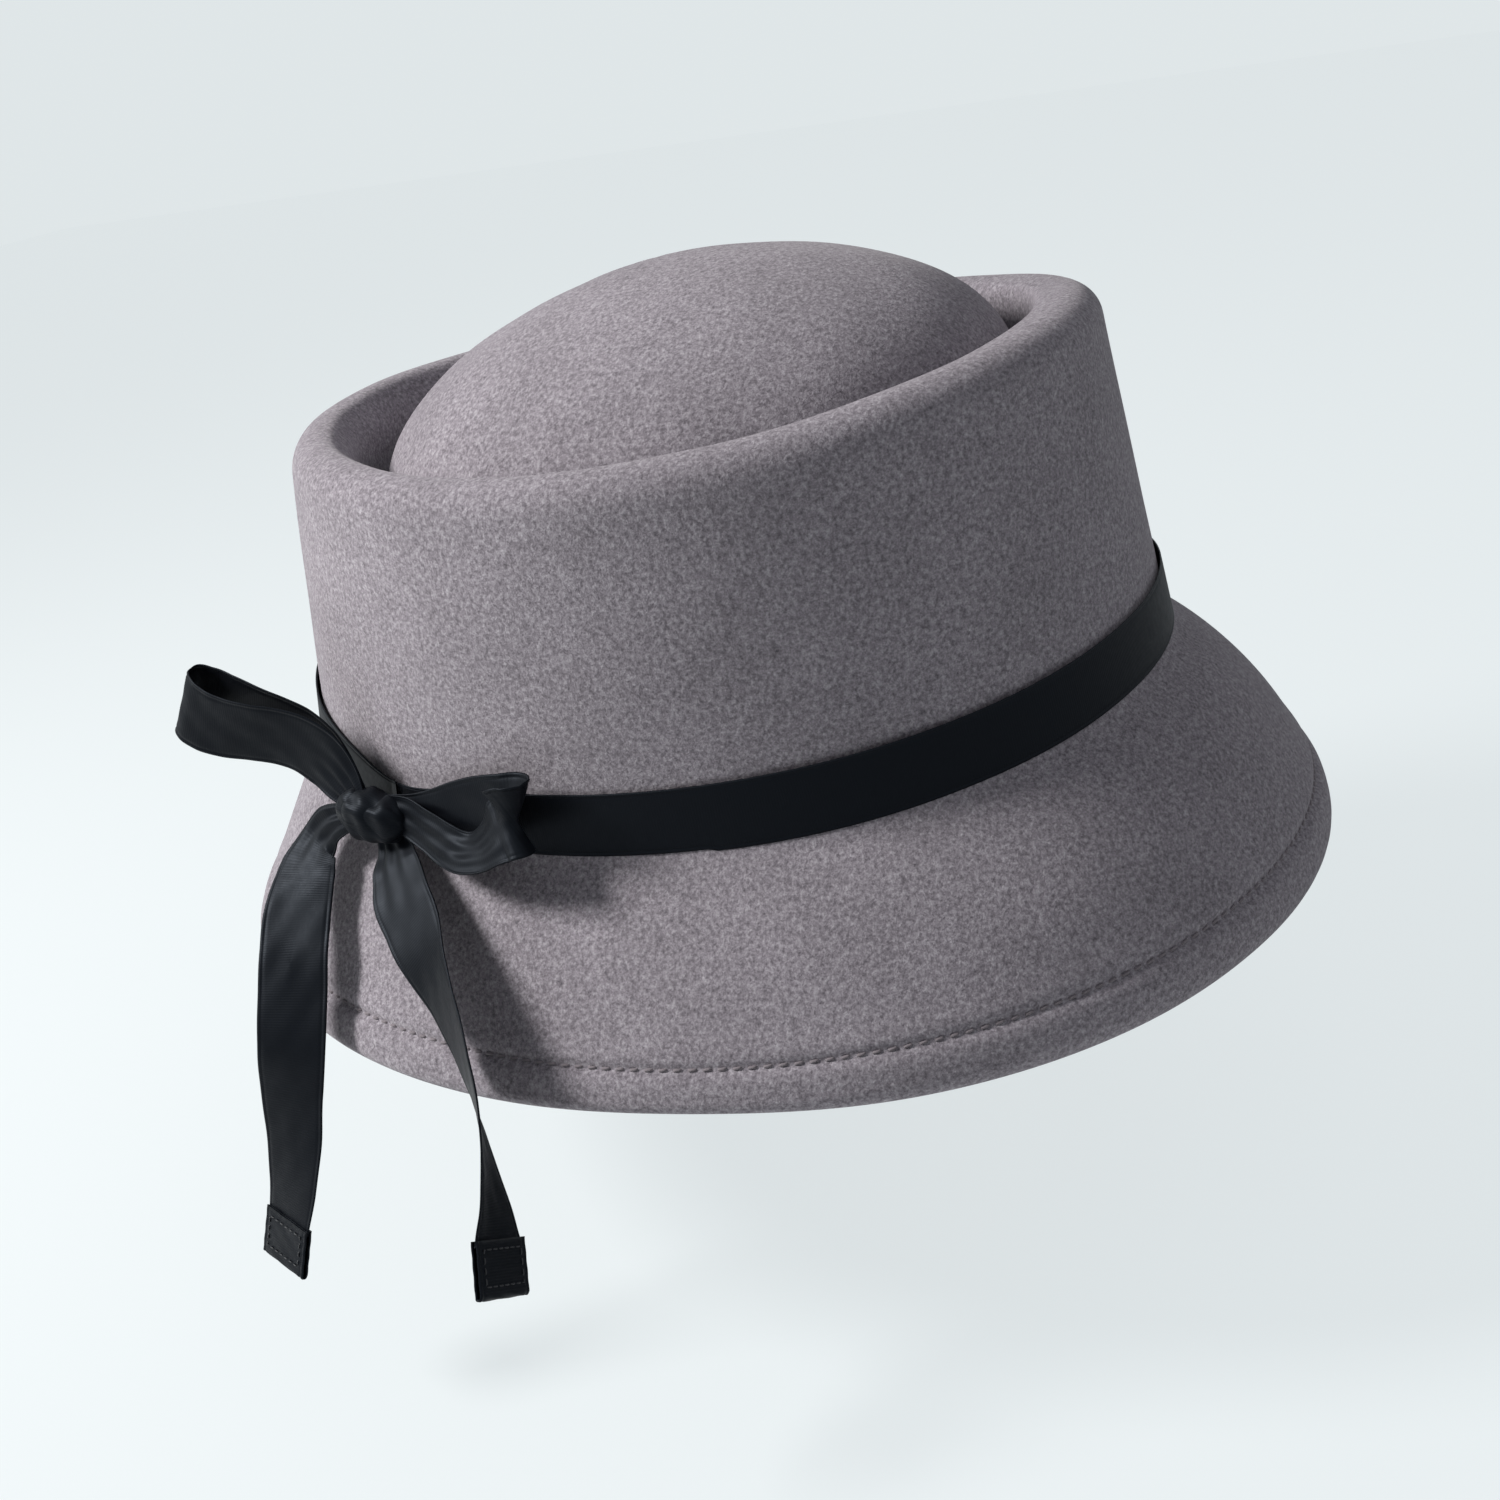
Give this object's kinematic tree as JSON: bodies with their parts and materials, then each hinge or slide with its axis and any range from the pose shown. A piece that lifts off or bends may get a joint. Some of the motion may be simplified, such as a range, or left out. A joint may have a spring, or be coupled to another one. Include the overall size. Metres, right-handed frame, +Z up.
{
  "type": "felt bucket hat with telescope crown and ribbon bow",
  "caption": "Blocked wool-felt hat with a domed telescope crown, a turned-down stitched brim and a tied ribbon bow whose tails swing.",
  "frame": {"origin": "centre of the head opening, level with the ribbon's lower edge where the crown meets the brim", "axes": "+Z up out of the crown, -Y towards the wearer's front, +X towards the wearer's left"},
  "size_m": [0.2601, 0.2662, 0.1875],
  "materials": {
    "felt": "soft brushed wool felt, warm grey",
    "ribbon": "black satin ribbon with woven selvedges",
    "sweatband": "black ribbed grosgrain",
    "felt_thread": "grey sewing thread",
    "black_thread": "black sewing thread",
    "wire": "drawn spring steel",
    "joiner": "drawn brass tube"
  },
  "bodies": {
    "hat": {"felt_body": "felt", "brim_wire": "wire", "wire_joiner": "joiner", "hem_stitching_upper": "felt_thread", "hem_stitching_lower": "felt_thread", "hat_band": "ribbon", "sweatband": "sweatband", "sweatband_stitching": "black_thread", "bow_knot": "ribbon", "bow_loop_left": "ribbon", "bow_loop_right": "ribbon"},
    "left_tail": {"tail_left": "ribbon", "tail_end_left": "ribbon", "tail_end_stitching_left": "black_thread"},
    "right_tail": {"tail_right": "ribbon", "tail_end_right": "ribbon", "tail_end_stitching_right": "black_thread"}
  },
  "joints": [
    {"name": "left_tail_swing", "type": "hinge", "parent": "hat", "child": "left_tail", "pos_m": [-0.0845, 0.0549, -0.007], "axis": [0.3903, 0.9207, 0], "range_deg": [0, 50]},
    {"name": "right_tail_swing", "type": "hinge", "parent": "hat", "child": "right_tail", "pos_m": [-0.0869, 0.0481, -0.0074], "axis": [0.3903, 0.9207, 0], "range_deg": [0, 50]}
  ]
}
